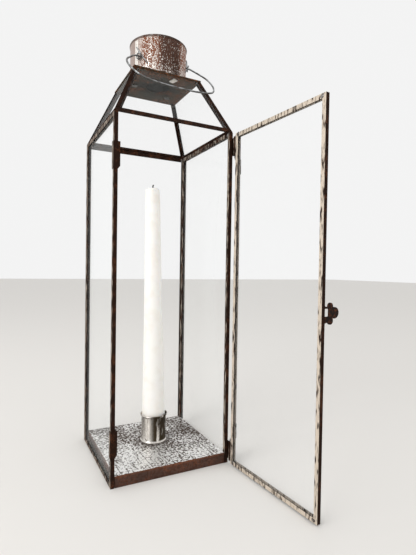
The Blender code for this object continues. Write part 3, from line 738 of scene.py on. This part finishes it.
def seams():
    # The chimney's seam strip is bright bare tin, partly a painted highlight.
    bent_strip("drum_seam", DRUM, DRUM_RADIUS + SEAM_GAP, DRUM_SEAM_BEARING, DRUM_SEAM_WIDTH,
               CROWN_HIGH.z + DRUM_SEAM_FOOT, DRUM_HIGH.z - DRUM_SEAM_HEAD, DRUM_SEAM_SHEET,
               "drum_tin", SEAM_HIGHLIGHT_FINISH)
    bent_strip("cup_seam", CUP, CUP_RADIUS + SEAM_GAP, CUP_SEAM_BEARING, CUP_SEAM_WIDTH,
               CUP_LOW.z + CUP_SEAM_ENDS, CUP_HIGH.z - CUP_SEAM_ENDS, CUP_SEAM_SHEET, "cup_tin")


def cup_fillet():
    """The run of solder that holds the cup to the tray."""
    steps = 96
    sides = 10
    mesh = bmesh.new()
    rings = []
    for step in range(steps):
        angle = 2 * math.pi * step / steps
        swell = 1.0 + 0.18 * math.sin(3 * angle + 0.6) + 0.12 * math.sin(7 * angle + 2.1)
        ring = []
        for side in range(sides):
            turn = 2 * math.pi * side / sides
            reach = CUP_RADIUS + FILLET_OUT + FILLET_HALF_WIDTH * swell * math.cos(turn)
            height = TRAY_HIGH.z + FILLET_UP + FILLET_HALF_HEIGHT * swell * math.sin(turn)
            ring.append(mesh.verts.new((
                CUP.x + reach * math.cos(angle), CUP.y + reach * math.sin(angle), height
            )))
        rings.append(ring)
    for ring, after in zip(rings, rings[1:] + rings[:1]):
        for side in range(sides):
            beside = (side + 1) % sides
            mesh.faces.new((ring[side], after[side], after[beside], ring[beside]))
    bmesh.ops.recalc_face_normals(mesh, faces=mesh.faces)
    data = bpy.data.meshes.new("cup_solder")
    mesh.to_mesh(data)
    mesh.free()
    data.shade_smooth()
    piece("cup_solder", data, "lantern", "cup_tin", SOLDER_FINISH)


def wick():
    """Three cotton strands twisted round the wick's own line, leaning over at its tip."""
    low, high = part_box("wick")
    base = Vector(((low.x + high.x) / 2 - WICK_SHIFT, (low.y + high.y) / 2, low.z))
    length = high.z - low.z
    strand_points = 30
    twists = 3.2
    curve = bpy.data.curves.new("wick_strands", "CURVE")
    curve.dimensions = "3D"
    curve.bevel_depth = STRAND_RADIUS
    curve.bevel_resolution = 3
    curve.use_fill_caps = True
    for strand in range(3):
        spline = curve.splines.new("POLY")
        spline.points.add(strand_points - 1)
        for number, point in enumerate(spline.points):
            share = number / (strand_points - 1)
            turn = 2 * math.pi * (twists * share + strand / 3)
            bow = WICK_LEAN * max(0.0, share - WICK_LEAN_START) ** 2
            middle = base + LIFT * (WICK_SHARE * length * share) + Vector((bow, bow * WICK_LEAN_BACK, 0.0))
            ring = Vector((math.cos(turn), math.sin(turn), 0.0)) * STRAND_OFFSET
            point.co = (*(middle + ring), 1.0)
    source = bpy.data.objects.new("wick_curve", curve)
    bpy.context.scene.collection.objects.link(source)
    made = to_piece(source, "twisted_wick", "candle", "wick_cotton")
    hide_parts("wick")


def camera():
    """A camera turned by its yaw, pitch and roll."""
    yaw, pitch, roll = (math.radians(angle) for angle in (CAMERA_YAW, CAMERA_PITCH, CAMERA_ROLL))
    ahead = Vector((-math.sin(yaw) * math.cos(pitch), math.cos(yaw) * math.cos(pitch), math.sin(pitch)))
    level = Vector((math.cos(yaw), math.sin(yaw), 0.0))
    above = level.cross(ahead)
    right = level * math.cos(roll) + above * math.sin(roll)
    top = above * math.cos(roll) - level * math.sin(roll)
    data = bpy.data.cameras.new("camera")
    data.lens = CAMERA_LENS
    data.sensor_width = 36.0
    data.clip_start = 0.01
    made = bpy.data.objects.new("camera", data)
    bpy.context.scene.collection.objects.link(made)
    turn = Matrix((right, top, -ahead)).transposed().to_4x4()
    made.matrix_world = Matrix.Translation(CAMERA_PLACE) @ turn
    bpy.context.scene.camera = made


def light(name, place, aim, size, power):
    data = bpy.data.lights.new(name, "AREA")
    data.shape = "SQUARE"
    data.size = size
    data.energy = power
    made = bpy.data.objects.new(name, data)
    bpy.context.scene.collection.objects.link(made)
    made.location = place
    made.rotation_euler = (aim - place).to_track_quat("-Z", "Y").to_euler()


def studio():
    """Two soft lights, an even pale room and a pale floor."""
    bpy.context.scene.view_settings.view_transform = "Standard"
    middle = Vector((TRAY.x, TRAY.y, AIM_HEIGHT))
    light("window_light", WINDOW_PLACE, middle, WINDOW_SIZE, WINDOW_POWER)
    light("fill_light", FILL_PLACE, middle, FILL_SIZE, FILL_POWER)
    world = bpy.data.worlds.new("pale_room")
    world.use_nodes = True
    shader = world.node_tree.nodes["Background"]
    shader.inputs["Color"].default_value = ROOM_COLOUR
    shader.inputs["Strength"].default_value = 1.0
    bpy.context.scene.world = world
    mesh = bmesh.new()
    bmesh.ops.create_grid(mesh, x_segments=1, y_segments=1, size=FLOOR_SIZE)
    data = bpy.data.meshes.new("floor")
    mesh.to_mesh(data)
    mesh.free()
    floor = bpy.data.objects.new("floor", data)
    bpy.context.scene.collection.objects.link(floor)
    floor_finish = Finish("pale_floor", 0.8)
    floor_finish.paint(base_color=FLOOR_COLOUR)
    data.materials.append(floor_finish.material)


camera()
dress_nodes()
for round_node in ("chimney", "candle_cup", "candle", "bail", "ear_left", "ear_right",
                   "knuckle_lower", "knuckle_upper", "hinge_wire_lower", "hinge_wire_upper"):
    rounded(round_node)
lantern_solder()
door_solder()
seams()
cup_fillet()
wick()
studio()
